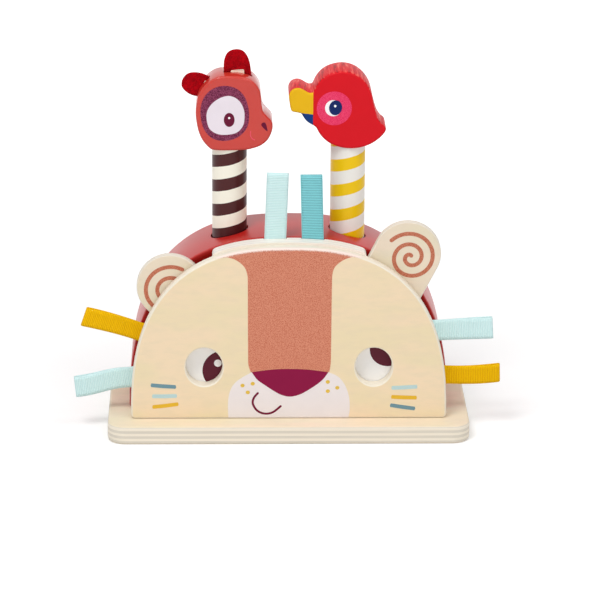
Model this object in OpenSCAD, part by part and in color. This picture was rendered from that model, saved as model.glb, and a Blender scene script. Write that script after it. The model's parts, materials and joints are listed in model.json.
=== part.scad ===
// Pop-up animal toy: a plywood animal face in front of a painted arch block. Two animal heads
// on striped dowels stand on springs in the block and pop back up when they are pressed down.
// A rocker behind the face carries both ears, and a turning disc shows through each eye hole.
// Frame: millimetres, +Z up, +X to the right of the face, the face looks along -Y.
// The origin is the middle of the base board's underside.

/* [Base board] */
// Length of the base board, side to side
base_l = 261; // [250:1:290]
// Depth of the base board, front to back
base_w = 112; // [106:1:130]
// Thickness of the base board
base_t = 13.5; // [10:0.5:18]
// Corner radius of the base board in plan
base_corner_r = 13; // [5:1:15]
// Rounding of the base board's edges
base_edge_r = 2; // [1:0.5:3]
// Distance from the board's front edge to the face plate
front_margin = 16.5; // [12:0.5:20]
// Distance of the base screws from the sides of the arch
base_screw_inset = 22; // [18:1:26]
// Distance between the two base screws of one side, front to back
base_screw_gap = 26; // [20:1:34]

/* [Arch outline] */
// Width of the face plate at its foot
arch_w = 227.6; // [224:0.2:234]
// Height of the face plate above the base board
arch_h = 129.5; // [127:0.5:136]
// Fullness of the arch's shoulders (2 is an ellipse)
arch_power = 2.55; // [2.4:0.05:2.8]
// Radius of the arch's two bottom corners
arch_foot_r = 3; // [2:0.5:5]

/* [Face plate] */
// Thickness of the face plate
plate_t = 9; // [7:0.5:11]
// Rounding of the face plate's edges
plate_edge_r = 1.8; // [1:0.2:2.4]
// Distance of the eye holes' centres from the sides of the face plate
eye_inset = 52.9; // [52:0.1:55]
// Distance of the eye holes' centres below the top of the arch
eye_drop = 89.9; // [89.8:0.1:92]
// Width of an eye hole
eye_hole_w = 26.4; // [24:0.2:28]
// Height of an eye hole
eye_hole_h = 28.8; // [26:0.2:30]
// Rounding of an eye hole's front rim
eye_rim_r = 1.4; // [0.8:0.2:2]

/* [Gap behind the face] */
// Width of the gap between the face plate and the block
gap_t = 11; // [10.5:0.5:13]
// Radial height of the top spacer
spacer_h = 8; // [7:0.5:8.5]
// How far the top spacer stands proud of the plate's outline
spacer_proud = 1.3; // [0.5:0.1:1.5]
// Distance from the sides of the face plate to the centres of the top spacer's round ends
spacer_end_inset = 62.8; // [62:0.2:68]
// Width of the side spacers
side_spacer_w = 17; // [14:1:18]
// Distance from the top of the arch down to the side spacers
side_spacer_drop = 56; // [55.5:0.5:58]
// Inset of the side spacers from the plate's edge
side_spacer_inset = 2.5; // [1.5:0.5:4]
// Slope of a side spacer's top end: how much lower its inner corner lies
side_spacer_slope = 14; // [13:0.5:16]

/* [Arch block] */
// Depth of the block
block_d = 60; // [56:1:68]
// How far the block stands proud of the plate's outline
block_proud = 1.5; // [1:0.5:3]
// Rounding of the block's edges
block_edge_r = 3; // [2:0.5:4]

/* [Plungers] */
// Distance between the two plungers
plunger_spacing = 85; // [82:0.5:88]
// Diameter of a dowel
dowel_d = 25; // [23:0.5:26]
// Clearance round a dowel in its guide bore, on the radius
guide_clear = 1.1; // [0.8:0.1:1.4]
// How far a plunger can be pressed down
plunger_travel = 58; // [50:1:60]
// Height of the step where a guide bore meets its spring well
step_z = 95; // [93:1:100]
// Clearance round a stop disc in its spring well, on the radius
well_clear = 0.8; // [0.6:0.1:1]
// Thickness of a stop disc
stop_t = 6; // [5:0.5:8]
// How far a stop disc stands out past its dowel, on the radius
stop_lip = 1.9; // [1.7:0.1:2.4]
// Diameter of the tenon that holds a head
tenon_d = 16; // [12:1:18]
// Length of the tenon
tenon_l = 17; // [12:1:20]
// Depth of the full-width seat in a head
seat_depth = 5; // [4:0.5:7]
// Thickness of the thrust washer on a spring
thrust_t = 1; // [0.8:0.1:1.5]

/* [Springs] */
// Wire diameter of a spring
wire_d = 1.6; // [1.2:0.1:1.7]
// Outer diameter of a spring
spring_d = 24; // [22:0.5:25]
// Number of open turns of a spring
open_turns = 5.5; // [4:0.5:6]

/* [Heads] */
// Thickness of a head
head_t = 28; // [26:0.5:30]
// Rounding of a head's edges
head_edge_r = 1.8; // [1:0.2:2.2]
// Width of the felt ear on top of the head
top_felt_w = 19.4; // [15:0.2:20]
// Width of the felt ear on the side of the head
side_felt_w = 17; // [15:0.2:18]
// Length of a felt ear outside its slot
felt_l = 16.3; // [13:0.1:18]
// Thickness of the felt
felt_t = 2.8; // [2:0.2:3.4]
// Width of the milled slot that holds a felt ear
felt_slot_w = 5; // [4:0.2:6]
// Depth of the slot
felt_slot_depth = 8; // [6:0.5:9]
// Width of the wooden wedge that holds a felt ear in its slot
wedge_w = 9.4; // [7:0.2:12]
// How far the wedge stands out of the slot
wedge_proud = 1.6; // [0.6:0.2:2.4]

/* [Ear rocker] */
// Thickness of the rocker
rocker_t = 6.6; // [5.6:0.2:7]
// Rounding of the rocker's edges
rocker_edge_r = 1.2; // [0.6:0.2:1.6]
// Distance from the top of the arch down to the rocker's pin
pivot_drop = 23; // [21.5:0.5:23.5]
// Distance of the middle of an ear from the side of the face plate, with the rocker level
ear_inset = 28.2; // [26:0.1:28.8]
// Height of the middle of an ear above the pin, with the rocker level
ear_rise = 2.4; // [1.6:0.2:3]
// Radius of an ear
ear_r = 24; // [22:0.5:24.5]
// Radius of the neck below an ear
neck_r = 20; // [17:0.5:20.5]
// Distance from the ear's middle to the neck's, sideways
neck_in = 16.9; // [16:0.1:17.5]
// Distance from the ear's middle to the neck's, downwards
neck_drop = 17.5; // [16:0.1:17.8]
// Radius of the ear's outer end, next to the neck
nape_r = 8; // [7:0.5:9]
// Distance from the ear's middle to that end's, sideways
nape_in = 3.1; // [2.6:0.1:4]
// Distance from the ear's middle to that end's, downwards
nape_drop = 32.3; // [30.5:0.1:32.6]
// Radius of the hub and of the arms' ends
arm_r = 10; // [8:0.5:10.5]
// Height of the raised right ear, at rest, above its place with the rocker level
ear_lift = 12.2; // [8:0.1:12.2]
// Diameter of the rocker's pin
rocker_pin_d = 8; // [6:0.5:10]

/* [Eye discs] */
// Diameter of an eye disc
disc_d = 40; // [37:1:41]
// Thickness of an eye disc
disc_t = 4.5; // [4:0.5:5.5]
// Gap between the face plate and an eye disc
disc_gap = 0.4; // [0.3:0.1:0.8]
// Diameter of the hub behind an eye disc
hub_d = 14; // [12:1:18]
// Diameter of an eye disc's pin
eye_pin_d = 6; // [5:0.5:8]

/* [Ribbons] */
// Width of the blue and teal ribbons
ribbon_w = 15.6; // [14:0.2:16]
// Width of the yellow ribbons
narrow_ribbon_w = 13.8; // [12:0.2:15]
// Thickness of a ribbon
ribbon_t = 0.8; // [0.6:0.1:0.8]
// Radius of the fold at a ribbon loop's end
fold_r = 1.7; // [1.2:0.1:2]
// Length of a ribbon's tail, clamped behind a spacer
ribbon_tail = 10; // [8:1:10]
// Depth of the slots that clamp the ribbons
ribbon_slot_depth = 2; // [1.9:0.1:2.4]
// Distance of the blue top ribbon from the middle, to the right
top_blue_x = -10; // [-14:0.2:-8]
// Direction of the blue top ribbon, in degrees from +X
top_blue_turn = 88; // [84:0.2:94]
// Length of the blue top loop outside the toy
top_blue_l = 50.5; // [40:0.5:54]
// Distance of the teal top ribbon from the middle, to the right
top_teal_x = 16.9; // [13:0.1:18]
// Direction of the teal top ribbon, in degrees from +X
top_teal_turn = 91.6; // [88:0.2:96]
// Length of the teal top loop outside the toy
top_teal_l = 49; // [40:0.5:54]
// Height of the upper left ribbon, as a share of the side spacer's height
left_yellow_at = 0.818; // [0.8:0.001:0.83]
// Slope of the upper left ribbon, in degrees above the horizontal
left_yellow_turn = 16.3; // [12:0.1:18]
// Height of the lower left ribbon, as a share of the side spacer's height
left_blue_at = 0.343; // [0.33:0.001:0.37]
// Slope of the lower left ribbon, in degrees above the horizontal
left_blue_turn = -9.3; // [-11:0.1:-4]
// Length of a left loop outside the toy
left_loop_l = 42; // [36:0.5:46]
// Height of the upper right ribbon, as a share of the side spacer's height
right_blue_at = 0.827; // [0.81:0.001:0.83]
// Slope of the upper right ribbon, in degrees above the horizontal
right_blue_turn = 3.4; // [0:0.1:6]
// Height of the lower right ribbon, as a share of the side spacer's height
right_yellow_at = 0.363; // [0.34:0.001:0.38]
// Slope of the lower right ribbon, in degrees above the horizontal
right_yellow_turn = 2.2; // [0:0.1:6]
// Length of a right loop outside the toy
right_loop_l = 40.5; // [36:0.5:46]

/* [Fasteners] */
// Diameter of the wooden pins through the spacers
pin_d = 4; // [3:0.5:4]
// Distance of the top spacer's wooden pins from its middle
top_pin_x = 32; // [29:0.5:36]
// Height of the lower wooden pin of a side spacer above the base board
low_pin_h = 10; // [7:0.5:12]
// Height of its upper wooden pin, as a share of the side spacer's height
high_pin_at = 0.605; // [0.59:0.001:0.62]
// Depth of a wooden pin in the face plate and in the block
pin_bite = 6; // [5:0.5:6.5]
// Diameter of a base screw's shank
base_screw_d = 4; // [3:0.5:5]
// Length of a base screw
base_screw_l = 40; // [30:1:50]
// Length of a stop disc's screw
stop_screw_l = 30; // [20:1:40]

/* [Hidden] */

glue_clear = 0.05; // radial gap of a pin or tenon that is fixed in its bore
turn_clear = 0.08; // radial gap of a bore that turns on its pin
face_clear = 0.3;  // gap between faces that move against each other
ribbon_gap = 0.5;  // gap between a ribbon's edges and its slot
cut = 1;           // how far a cutter reaches past the face it opens
SIDES = [-1, 1];

// Layers from front to back
front_y = -base_w / 2 + front_margin;
plate_back_y = front_y + plate_t;
block_front_y = plate_back_y + gap_t;
plunger_y = block_front_y + block_d / 2;

// Levels
arch_top_z = base_t + arch_h;
block_top_z = arch_top_z + block_proud;
eye_z = arch_top_z - eye_drop;
pivot_z = arch_top_z - pivot_drop;
side_spacer_h = arch_h - side_spacer_drop;
high_pin_h = side_spacer_h * high_pin_at;
head_z = block_top_z + plunger_travel + 1.5;

// Places to the right of the middle
eye_x = arch_w / 2 - eye_inset;
spacer_half_l = arch_w / 2 - spacer_end_inset;
ear_reach = arch_w / 2 - ear_inset;
ear_tilt = asin(ear_lift / ear_reach);

// Plunger stack, from the head down to the spring
dowel_r = dowel_d / 2;
dowel_top_z = head_z + seat_depth - face_clear;
dowel_low_z = step_z - face_clear;
stop_r = dowel_r + stop_lip;
stop_low_z = dowel_low_z - stop_t;
thrust_top_z = stop_low_z - face_clear;
thrust_low_z = thrust_top_z - thrust_t;
screw_head_r = 4;
stop_screw_d = 4;

// Rocker layer: the rocker runs between two washers, in front of the ribbons
rocker_back_y = block_front_y - ribbon_slot_depth - 0.5;
rocker_mid_y = rocker_back_y - rocker_t / 2;
rocker_front_y = rocker_back_y - rocker_t;
rocker_seat = plate_t - 3.5;
rocker_bite = 10;

// Eye discs turn on pins set in the block
disc_front_y = plate_back_y + disc_gap;
eye_pin_bite = 7;
eye_bore_y = disc_front_y + 2.5;

// ---------------------------------------------------------------- curves

function sgn(v) = v < 0 ? -1 : 1;

// Point of an arch a wide to one side and b high, at angle t from its right foot, for a
// fullness of 2 (an ellipse) or more
function arch_point(a, b, power, t) =
    [a * sgn(cos(t)) * pow(abs(cos(t)), 2 / power), b * pow(sin(t), 2 / power)];

// Height of the arch, inset by d, at distance x from its middle line
function arch_height(x, d) =
    (arch_h - d) * pow(1 - pow(abs(x) / (arch_w / 2 - d), arch_power), 1 / arch_power);

// Distance of the arch, inset by d, from its middle line at height h
function arch_reach(h, d) =
    (arch_w / 2 - d) * pow(1 - pow(h / (arch_h - d), arch_power), 1 / arch_power);

// Closed arch outline, anticlockwise from its right foot, inset by d with its foot lifted
function arch_outline(d, foot, steps = 60) =
    let (a = arch_w / 2 - d, b = arch_h - d, r = max(0.5, arch_foot_r - foot))
    concat(
        [for (q = [-90:30:0]) [a - r + r * cos(q), foot + r + r * sin(q)]],
        [for (k = [1:steps - 1]) arch_point(a, b, arch_power, 180 * k / steps)],
        [for (q = [180:30:270]) [r - a + r * cos(q), foot + r + r * sin(q)]]);

// A point of a closed smooth curve through the points c: in span i, at share s of it
function smooth_point(c, i, s) =
    let (n = len(c), p = c[(i + n - 1) % n], q = c[i], u = c[(i + 1) % n], v = c[(i + 2) % n])
    q + s * ((u - p) / 2 + s * (p - 2.5 * q + 2 * u - 0.5 * v + s * (1.5 * (q - u) + (v - p) / 2)));

function smooth(c, steps) =
    [for (i = [0:len(c) - 1], k = [0:steps - 1]) smooth_point(c, i, k / steps)];

// Closed anticlockwise outline, moved inwards by d
function inset(c, d) = [for (i = [0:len(c) - 1])
    let (n = len(c), t = c[(i + 1) % n] - c[(i + n - 1) % n]) c[i] + d * [-t[1], t[0]] / norm(t)];

// Outline of a strip 2r wide along an open curve
function strip(c, r, round_ends = false) =
    let (n = len(c), last = n - 1,
         t = [for (i = [0:last]) let (v = c[min(i + 1, last)] - c[max(i - 1, 0)]) v / norm(v)],
         turn = [for (v = t) atan2(v[1], v[0])],
         caps = round_ends ? [for (a = [15:15:165]) a] : [])
    concat(
        [for (i = [0:last]) c[i] + r * [t[i][1], -t[i][0]]],
        [for (a = caps) c[last] + r * [cos(turn[last] - 90 + a), sin(turn[last] - 90 + a)]],
        [for (i = [last:-1:0]) c[i] + r * [-t[i][1], t[i][0]]],
        [for (a = caps) c[0] + r * [cos(turn[0] + 90 + a), sin(turn[0] + 90 + a)]]);

// Offset along the thickness t and inset of each ring that rounds both edges of a slab
function edge_rings(t, r, steps) =
    let (half = [for (k = [0:steps]) [t / 2 - r * (1 - cos(90 * k / steps)), r * (1 - sin(90 * k / steps))]])
    concat([for (h = half) [-h[0], h[1]]], [for (k = [steps:-1:0]) half[k]]);

// ---------------------------------------------------------------- solids

// Skin over rings of equal length, closed at both ends. Each ring is a list of 3-D points
// that runs anticlockwise about the direction from the first ring to the last. An outline with
// notches also needs hubs: a point in each end face from which all of its edge is in sight.
module loft(rings, hubs = []) {
    n = len(rings[0]);
    m = len(rings) - 1;
    h = n * (m + 1);
    sides = [for (i = [0:m - 1], j = [0:n - 1])
        let (a = i * n + j, b = i * n + (j + 1) % n) each [[a, a + n, b], [b, a + n, b + n]]];
    ends = hubs == [] ? [[for (j = [0:n - 1]) j], [for (j = [n - 1:-1:0]) m * n + j]]
        : [for (j = [0:n - 1]) each [[h, j, (j + 1) % n], [h + 1, m * n + (j + 1) % n, m * n + j]]];
    polyhedron(concat([for (ring = rings) each ring], hubs), concat(ends, sides));
}

// Upright slab with rounded edges: the outline, as [x, z] points, is moved inwards at the edges
module rounded_slab(outline, y_mid, t, r, steps, hub = undef) {
    rings = edge_rings(t, r, steps);
    ends = hub == undef ? [] : [rings[0], rings[len(rings) - 1]];
    loft([for (e = rings) [for (p = inset(outline, e[1])) [p[0], y_mid - e[0], p[1]]]],
        [for (e = ends) [hub[0], y_mid - e[0], hub[1]]]);
}

// Arch-shaped slab with rounded edges, standing on the base board
module arch_slab(y0, t, proud, r, steps) {
    loft([for (e = edge_rings(t, r, steps))
        [for (p = arch_outline(e[1] - proud, e[1])) [p[0], y0 + t / 2 - e[0], base_t + p[1]]]]);
}

// Flat outline in x and z, made into a plate that reaches from y0 backwards
module upright(outline, y0, t) {
    translate([0, y0 + t, 0]) rotate([90, 0, 0]) linear_extrude(t) polygon(outline);
}

// Round bar along Y, from y0 backwards
module bar_y(x, z, y0, len, r) {
    translate([x, y0, z]) rotate([-90, 0, 0]) cylinder(len, r, r, $fn = 48);
}

// Round disc along Y with rounded edges
module pebble(x, z, r, fn) {
    e = rocker_edge_r;
    h = rocker_t / 2;
    translate([x, rocker_mid_y, z]) rotate([90, 0, 0]) rotate_extrude($fn = fn)
        polygon([[0, -h], [r - e, -h], [r - 0.3 * e, 0.3 * e - h], [r, e - h],
                 [r, h - e], [r - 0.3 * e, h - 0.3 * e], [r - e, h], [0, h]]);
}

module cross_recess(depth) {
    for (a = [0, 90]) rotate(a) translate([-2, -0.45, -cut]) cube([4, 0.9, depth + cut]);
}

// ---------------------------------------------------------------- base

base_screw_places = [for (side = SIDES, row = SIDES)
    [side * (arch_w / 2 - base_screw_inset), plunger_y + row * base_screw_gap / 2]];
base_screw_sink = 0.4;
base_screw_cone = screw_head_r - base_screw_d / 2;
base_bore_r = base_screw_d / 2 + glue_clear;

function rounded_rect(l, w, r) = [for (q = [0:3], k = [0:5])
    let (a = 90 * q + 18 * k, sx = [1, -1, -1, 1][q], sy = [1, 1, -1, -1][q])
    [sx * (l / 2 - r) + r * cos(a), sy * (w / 2 - r) + r * sin(a)]];

module base_board() color("#ecd9b8") difference() {
    loft([for (e = edge_rings(base_t, base_edge_r, 3))
        [for (p = rounded_rect(base_l - 2 * e[1], base_w - 2 * e[1], base_corner_r - e[1]))
            [p[0], p[1], base_t / 2 + e[0]]]]);
    for (p = base_screw_places) translate([p[0], p[1], -cut]) {
        cylinder(base_t + 2 * cut, base_screw_d / 2 + 0.2, base_screw_d / 2 + 0.2, $fn = 32);
        cylinder(cut + base_screw_sink, screw_head_r + 0.2, screw_head_r + 0.2, $fn = 32);
        translate([0, 0, cut + base_screw_sink])
            cylinder(base_screw_cone, screw_head_r + 0.2, base_screw_d / 2 + 0.2, $fn = 32);
    }
}

module base_screws() color("silver") for (p = base_screw_places)
    translate([p[0], p[1], base_screw_sink]) difference() {
        rotate_extrude($fn = 32) polygon([[0, 0], [screw_head_r, 0], [base_screw_d / 2, base_screw_cone],
            [base_screw_d / 2, base_screw_l - 4], [0.4, base_screw_l], [0, base_screw_l]]);
        cross_recess(1.4);
    }

// ---------------------------------------------------------------- block, face and spacers

// Wooden pins through the spacers, as [x, height above the base board]
side_pin_inset = side_spacer_inset + side_spacer_w / 2;
spacer_inset = spacer_h / 2 - spacer_proud;
pin_places = [for (side = SIDES) each [
    [side * arch_reach(low_pin_h, side_pin_inset), low_pin_h],
    [side * arch_reach(high_pin_h, side_pin_inset), high_pin_h],
    [side * top_pin_x, arch_height(top_pin_x, spacer_inset)]]];

module pin_bores(y0, len) {
    for (p = pin_places) bar_y(p[0], base_t + p[1], y0, len, pin_d / 2 + glue_clear);
}

module arch_block() color("#a83a38") difference() {
    arch_slab(block_front_y, block_d, block_proud, block_edge_r, 4);
    for (side = SIDES) translate([side * plunger_spacing / 2, plunger_y, base_t - cut]) {
        cylinder(arch_h + block_proud + 2 * cut, dowel_r + guide_clear, dowel_r + guide_clear, $fn = 72);
        cylinder(step_z - base_t + cut, stop_r + well_clear, stop_r + well_clear, $fn = 72);
    }
    for (p = base_screw_places) translate([p[0], p[1], base_t - cut])
        cylinder(base_screw_l - base_t + 2 * cut, base_bore_r, base_bore_r, $fn = 32);
    pin_bores(block_front_y - cut, pin_bite + cut + face_clear);
    for (side = SIDES) bar_y(side * eye_x, eye_z, block_front_y - cut,
        eye_pin_bite + cut + face_clear, eye_pin_d / 2 + glue_clear);
    bar_y(0, pivot_z, block_front_y - cut, rocker_bite + cut + face_clear, rocker_pin_d / 2 + glue_clear);
}

// Cutter for an oval eye hole with a rounded front rim
module eye_cutter(x) {
    r = eye_rim_r;
    rim = [for (a = [90:-22.5:0]) [r * (1 - cos(a)), r * (1 - sin(a))]];
    loft([for (g = concat([[plate_t + cut, 0]], rim, [[-cut, r]]))
        let (rx = eye_hole_w / 2 + g[1], rz = eye_hole_h / 2 + g[1])
        [for (a = [0:7.5:352.5]) [x + rx * cos(a), front_y + g[0], eye_z + rz * sin(a)]]]);
}

module face_plate() color("#f0dcb9") difference() {
    arch_slab(front_y, plate_t, 0, plate_edge_r, 3);
    for (side = SIDES) eye_cutter(side * eye_x);
    pin_bores(plate_back_y - pin_bite - face_clear, pin_bite + cut + face_clear);
    bar_y(0, pivot_z, plate_back_y - rocker_seat - face_clear, rocker_seat + cut + face_clear,
        rocker_pin_d / 2 + glue_clear);
}

// Ribbons: x and height of the place where the loop leaves its spacer, its direction from
// +X, the length outside, and the width
left_yellow_h = side_spacer_h * left_yellow_at;
left_blue_h = side_spacer_h * left_blue_at;
right_blue_h = side_spacer_h * right_blue_at;
right_yellow_h = side_spacer_h * right_yellow_at;
top_ribbons = [
    [top_blue_x, arch_height(top_blue_x, 0), top_blue_turn, top_blue_l, ribbon_w],
    [top_teal_x, arch_height(top_teal_x, 0), top_teal_turn, top_teal_l, ribbon_w]];
left_ribbons = [
    [-arch_reach(left_yellow_h, 0), left_yellow_h, 180 - left_yellow_turn, left_loop_l, narrow_ribbon_w],
    [-arch_reach(left_blue_h, 0), left_blue_h, 180 - left_blue_turn, left_loop_l, ribbon_w]];
right_ribbons = [
    [arch_reach(right_blue_h, 0), right_blue_h, right_blue_turn, right_loop_l, ribbon_w],
    [arch_reach(right_yellow_h, 0), right_yellow_h, right_yellow_turn, right_loop_l, narrow_ribbon_w]];

// Cutter for the slot that a ribbon's tail is clamped in
module ribbon_slot(place) {
    translate([place[0], block_front_y - ribbon_slot_depth, base_t + place[1]]) rotate([0, -place[2], 0])
        translate([-ribbon_tail - ribbon_gap, 0, -place[4] / 2 - ribbon_gap])
            cube([2 * ribbon_tail, ribbon_slot_depth + cut, place[4] + 2 * ribbon_gap]);
}

module top_spacer() color("#eed8b0") difference() {
    middle = [for (k = [-12:12]) let (x = spacer_half_l * k / 12) [x, arch_height(x, spacer_inset)]];
    outline = [for (p = strip(middle, spacer_h / 2, true)) p + [0, base_t]];
    upright(outline, plate_back_y, gap_t);
    for (place = top_ribbons) ribbon_slot(place);
    pin_bores(plate_back_y - cut, gap_t + 2 * cut);
}

module side_spacer(side) {
    outer = [for (k = [0:12]) let (h = side_spacer_h * k / 12)
        [side * arch_reach(h, side_spacer_inset), base_t + h]];
    inner = [for (k = [12:-1:0]) let (h = (side_spacer_h - side_spacer_slope) * k / 12)
        [side * arch_reach(h, side_spacer_inset + side_spacer_w), base_t + h]];
    difference() {
        upright(concat(outer, inner), plate_back_y, gap_t);
        for (place = concat(left_ribbons, right_ribbons)) ribbon_slot(place);
        pin_bores(plate_back_y - cut, gap_t + 2 * cut);
    }
}

module left_spacer() color("#eed8b0") side_spacer(-1);

module right_spacer() color("#eed8b0") side_spacer(1);

module spacer_pins() color("burlywood") for (p = pin_places)
    bar_y(p[0], base_t + p[1], plate_back_y - pin_bite, gap_t + 2 * pin_bite, pin_d / 2);

// ---------------------------------------------------------------- ear rocker

module ear_rocker() color("#f0dcb9") {
    ear_x = ear_reach;
    ear_z = pivot_z + ear_rise;
    translate([0, 0, pivot_z]) rotate([0, -ear_tilt, 0]) translate([0, 0, -pivot_z]) difference() {
        union() for (side = SIDES) {
            hull() {
                pebble(side * ear_x, ear_z, ear_r, 56);
                pebble(side * (ear_x - neck_in), ear_z - neck_drop, neck_r, 48);
                pebble(side * (ear_x - nape_in), ear_z - nape_drop, nape_r, 32);
            }
            hull() {
                pebble(side * (ear_x - neck_in), ear_z - neck_drop, arm_r, 32);
                pebble(0, pivot_z, arm_r, 32);
            }
        }
        bar_y(0, pivot_z, rocker_front_y - cut, rocker_t + 2 * cut, rocker_pin_d / 2 + turn_clear);
    }
}

module rocker_pin() color("burlywood")
    bar_y(0, pivot_z, plate_back_y - rocker_seat, rocker_seat + gap_t + rocker_bite, rocker_pin_d / 2);

module rocker_washers() color("#f4f2ea") {
    places = [[plate_back_y, rocker_front_y - plate_back_y - 0.1],
              [rocker_back_y + 0.1, block_front_y - rocker_back_y - 0.1]];
    for (w = places) difference() {
        bar_y(0, pivot_z, w[0], w[1], arm_r - 1);
        bar_y(0, pivot_z, w[0] - cut, w[1] + 2 * cut, rocker_pin_d / 2 + glue_clear);
    }
}

// ---------------------------------------------------------------- eye discs

module eye_disc(side) {
    e = 0.8;
    r = disc_d / 2;
    back = block_front_y - disc_front_y - disc_gap;
    translate([side * eye_x, disc_front_y, eye_z]) rotate([-90, 0, 0]) rotate_extrude($fn = 72)
        polygon([[0, 0], [r - e, 0], [r, e], [r, disc_t - e], [r - e, disc_t], [hub_d / 2, disc_t],
                 [hub_d / 2, back], [eye_pin_d / 2 + turn_clear, back],
                 [eye_pin_d / 2 + turn_clear, 2.5], [0, 2.5]]);
}

module eye_pin(side)
    bar_y(side * eye_x, eye_z, eye_bore_y + face_clear,
        block_front_y + eye_pin_bite - eye_bore_y - face_clear, eye_pin_d / 2);

module left_eye_disc() color("#f5f1e6") eye_disc(-1);

module right_eye_disc() color("#f5f1e6") eye_disc(1);

module left_eye_pin() color("burlywood") eye_pin(-1);

module right_eye_pin() color("burlywood") eye_pin(1);

// ---------------------------------------------------------------- plungers

module at_plunger(side) translate([side * plunger_spacing / 2, plunger_y, 0]) children();

module dowel(side) at_plunger(side) {
    z0 = dowel_low_z;
    e = 0.6;
    bore_l = stop_screw_l - stop_t + face_clear;
    bore_r = stop_screw_d / 2 + glue_clear;
    r = dowel_r;
    z1 = dowel_top_z;
    z2 = dowel_top_z + tenon_l;
    t = tenon_d / 2;
    rotate_extrude($fn = 72) polygon([[bore_r, z0], [r - e, z0], [r, z0 + e], [r, z1], [t, z1],
        [t, z2 - e], [t - e, z2], [0, z2], [0, z0 + bore_l], [bore_r, z0 + bore_l]]);
}

module stop_disc(side) at_plunger(side) translate([0, 0, stop_low_z]) {
    e = 0.8;
    bore_r = stop_screw_d / 2 + 0.15;
    rotate_extrude($fn = 72) polygon([[bore_r, 0], [stop_r - e, 0], [stop_r, e],
        [stop_r, stop_t - e], [stop_r - e, stop_t], [bore_r, stop_t]]);
}

module stop_screw(side) at_plunger(side) translate([0, 0, stop_low_z - 2.6]) {
    r = stop_screw_d / 2;
    h = screw_head_r;
    top = stop_screw_l + 2.6;
    difference() {
        rotate_extrude($fn = 32) polygon([[0, 0], [h - 1.4, 0], [h - 0.4, 0.5], [h, 1.4], [h, 2.6],
            [r, 2.6], [r, top - 4], [0.4, top], [0, top]]);
        cross_recess(1.4);
    }
}

module thrust_washer(side) at_plunger(side) translate([0, 0, thrust_low_z]) difference() {
    cylinder(thrust_t, spring_d / 2 + 1.5, spring_d / 2 + 1.5, $fn = 64);
    translate([0, 0, -cut]) cylinder(thrust_t + 2 * cut, screw_head_r + 1.5, screw_head_r + 1.5, $fn = 48);
}

// Height of the wire's middle after a given number of turns: one closed turn at each end
turns = open_turns + 2;
spring_h = thrust_low_z - base_t;
closed_rise = wire_d + 0.15;
open_rise = (spring_h - wire_d - 2 * closed_rise) / open_turns;
function wire_z(n) = wire_d / 2 + (n < 1 ? closed_rise * n
    : n > turns - 1 ? spring_h - wire_d - closed_rise * (turns - n)
    : closed_rise + open_rise * (n - 1));

module spring(side) at_plunger(side) translate([0, 0, base_t]) {
    r = spring_d / 2 - wire_d / 2;
    w = wire_d / 2;
    loft([for (k = [0:12 * turns]) let (a = 30 * k, z = wire_z(k / 12)) [for (b = [0:60:300])
        [(r + w * sin(b)) * cos(a), (r + w * sin(b)) * sin(a), z + w * cos(b)]]]);
}

module left_dowel() color("#f1eadb") dowel(-1);

module right_dowel() color("#f5f3ee") dowel(1);

module left_stop_disc() color("burlywood") stop_disc(-1);

module right_stop_disc() color("burlywood") stop_disc(1);

module left_stop_screw() color("silver") stop_screw(-1);

module right_stop_screw() color("silver") stop_screw(1);

module left_thrust_washer() color("gray") thrust_washer(-1);

module right_thrust_washer() color("gray") thrust_washer(1);

module left_spring() color("silver") spring(-1);

module right_spring() color("silver") spring(1);

// ---------------------------------------------------------------- heads

// Outlines as [distance from the dowel's axis, height above the head's underside]
beast_points = [[11.2, 0.5], [16.7, 1.6], [22.1, 3.6], [27, 7.6], [29.7, 12.7], [30.8, 17.8], [29.9, 21.7],
    [26.9, 25.1], [23.9, 29], [22.8, 34.7], [22.3, 40.3], [21, 45.7], [17.2, 50.7], [12.4, 53.4],
    [5.8, 54.8], [-2.9, 54.8], [-8.3, 54.3], [-13.7, 51.5], [-19.1, 45.9], [-22.3, 40.3], [-23.7, 32.4],
    [-24, 25.7], [-22.4, 15.5], [-19.2, 7.6], [-13.8, 1.4], [-9.4, 0.3], [-0.7, 0]];
bird_points = [[17.2, 36], [15.8, 42], [14.2, 46.2], [11.6, 50.2], [8.4, 53.5], [4.4, 56.3], [0, 57.9],
    [-4.8, 58.5], [-10.1, 57.8], [-14.8, 56.2], [-18.9, 53.6], [-22.1, 50.1], [-24.3, 46.3], [-25.8, 43.2],
    [-28.4, 42.9], [-31.1, 44.2], [-33.8, 45.8], [-36.9, 46.4], [-40.1, 45.4], [-42.2, 43], [-42.9, 40.1],
    [-42.5, 36.4], [-41.8, 31.8], [-40.6, 29], [-37.5, 28.2], [-34.2, 27.4], [-32.6, 25], [-30.6, 22.2],
    [-28.1, 20.2], [-25.3, 18.6], [-23.1, 16.6], [-21.4, 13.4], [-18.7, 9.7], [-14.6, 6.1], [-10, 3.7],
    [-4.7, 2.1], [0.7, 1.5], [6, 1.8], [11.3, 3], [16.8, 5.4], [22, 9.2], [25.3, 12.9], [26.5, 15.7],
    [25.6, 18], [23.2, 20], [21, 23.2], [19.5, 27.2], [18.2, 31.8]];

// A point from which all of the bird's outline is in sight
bird_hub = [-8, 25.5];

function head_outline(points) = [for (p = smooth(points, 3)) p + [0, head_z]];

module head_bores() {
    seat_r = dowel_r + glue_clear;
    tenon_r = tenon_d / 2 + glue_clear;
    translate([0, 0, head_z - cut]) cylinder(seat_depth + cut, seat_r, seat_r, $fn = 72);
    translate([0, 0, head_z - cut])
        cylinder(cut + seat_depth + tenon_l + glue_clear, tenon_r, tenon_r, $fn = 72);
}

felt_power = 2;
felt_gap = 0.3;

// Place of a felt ear: [distance from the axis, height above the head's underside, direction, width]
top_ear = [5.8, 54.7, 96, top_felt_w];
side_ear = [-17.9, 43.5, 155, side_felt_w];

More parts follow.
